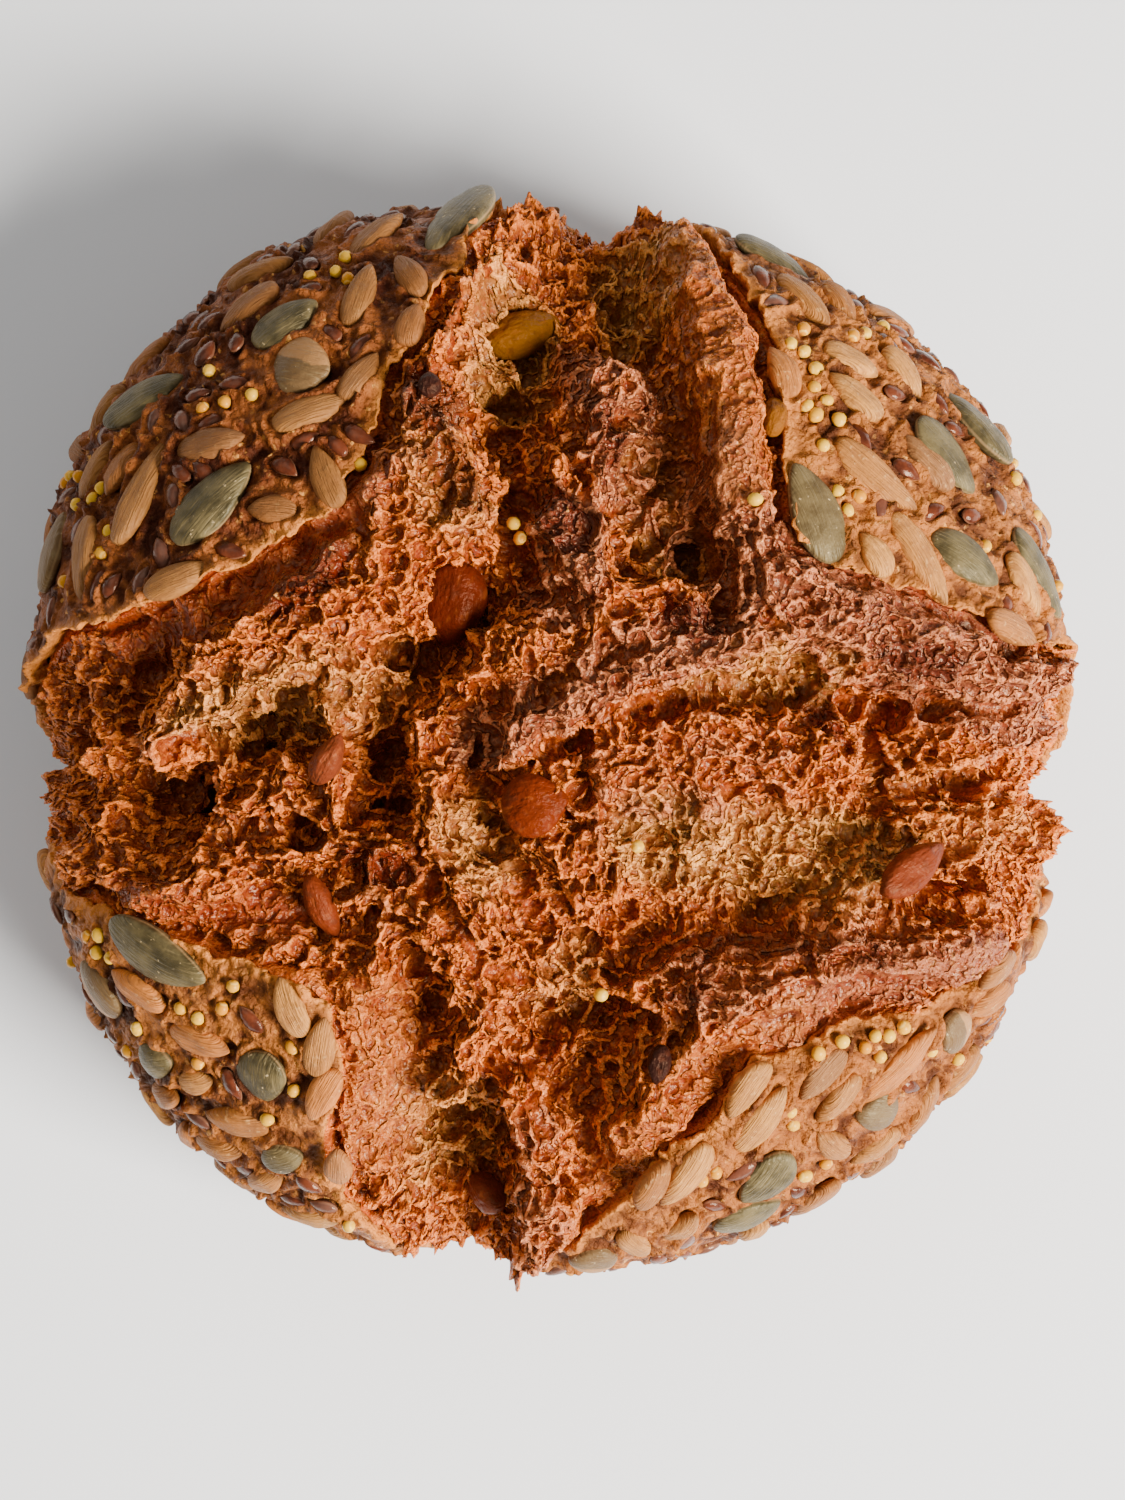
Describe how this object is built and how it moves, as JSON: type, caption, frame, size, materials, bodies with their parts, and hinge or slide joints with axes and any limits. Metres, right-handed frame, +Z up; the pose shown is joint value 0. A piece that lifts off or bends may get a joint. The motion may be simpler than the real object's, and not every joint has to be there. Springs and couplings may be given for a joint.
{
  "type": "seeded multigrain loaf",
  "caption": "Round seeded multigrain hearth loaf, burst open along a deep cross cut, with four seeded crust flaps round a cross of torn, craggy crumb.",
  "frame": {"origin": "centre of the flat foot, at the bottom centre of the bounding box", "axes": "+Z up out of the top of the loaf, +X towards the right and +Y towards the top of the loaf as the picture shows it from above"},
  "size_m": [0.1492, 0.154, 0.071],
  "materials": {
    "crust": null,
    "crumb": "torn and toasted crumb with a slight sheen",
    "pumpkin_seed": "satin dark green seed skin",
    "sunflower_seed": "matte tan kernel",
    "linseed": "glossy dark brown seed skin",
    "millet": "glossy yellow grain"
  },
  "bodies": {
    "root": {"loaf": "crust"}
  },
  "joints": []
}
